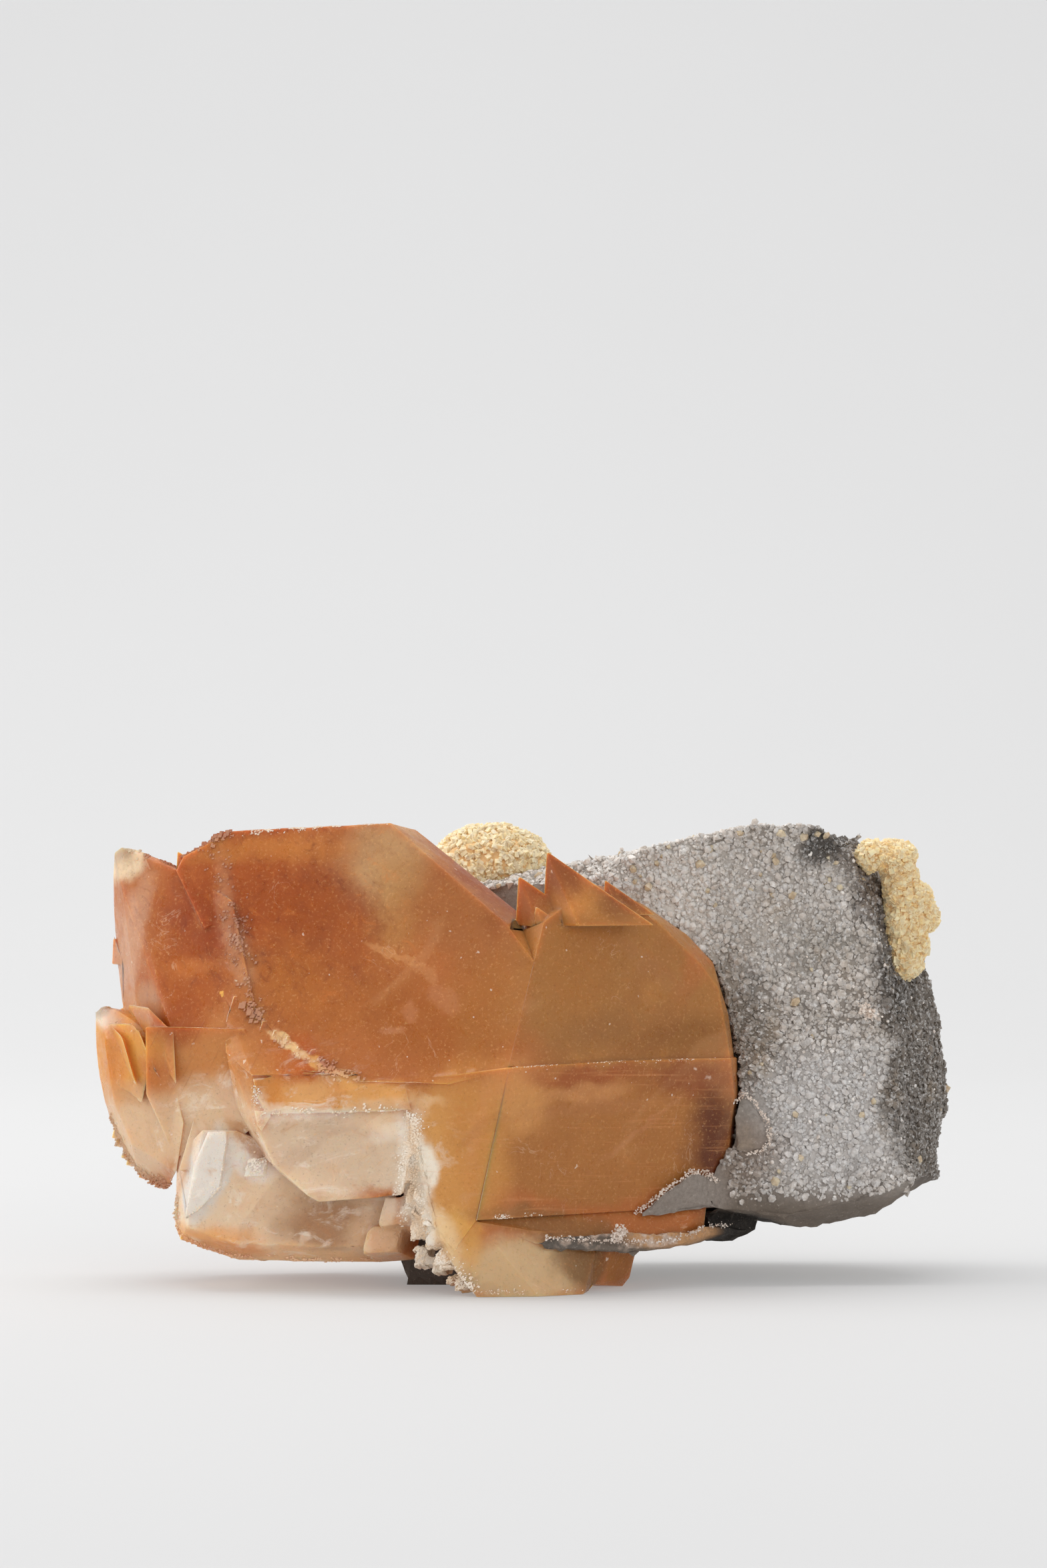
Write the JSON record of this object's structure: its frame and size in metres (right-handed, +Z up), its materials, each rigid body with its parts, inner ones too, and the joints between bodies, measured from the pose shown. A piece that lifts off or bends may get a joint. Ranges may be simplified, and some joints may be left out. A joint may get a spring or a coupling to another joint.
{
  "type": "dogtooth calcite",
  "caption": "Mineral specimen for display: honey-coloured calcite crystals grown together on rock with a quartz druse and knobbly barite growths. It stands on a flat foot.",
  "frame": {"origin": "middle of the bounding box, on the resting plane", "axes": "+Z up, +X to the right of the pictured front, along the longest extent, +Y away from the viewer"},
  "size_m": [0.181, 0.0816, 0.0967],
  "materials": {
    "calcite": "glossy cleavage and crystal faces, translucent",
    "rock": "grey rock under a sparkling druse",
    "barite": "granular, cream"
  },
  "bodies": {
    "root": {"calcite_crystals": "calcite", "matrix_rock": "rock", "barite_ball": "barite", "barite_cluster": "barite"}
  },
  "joints": []
}
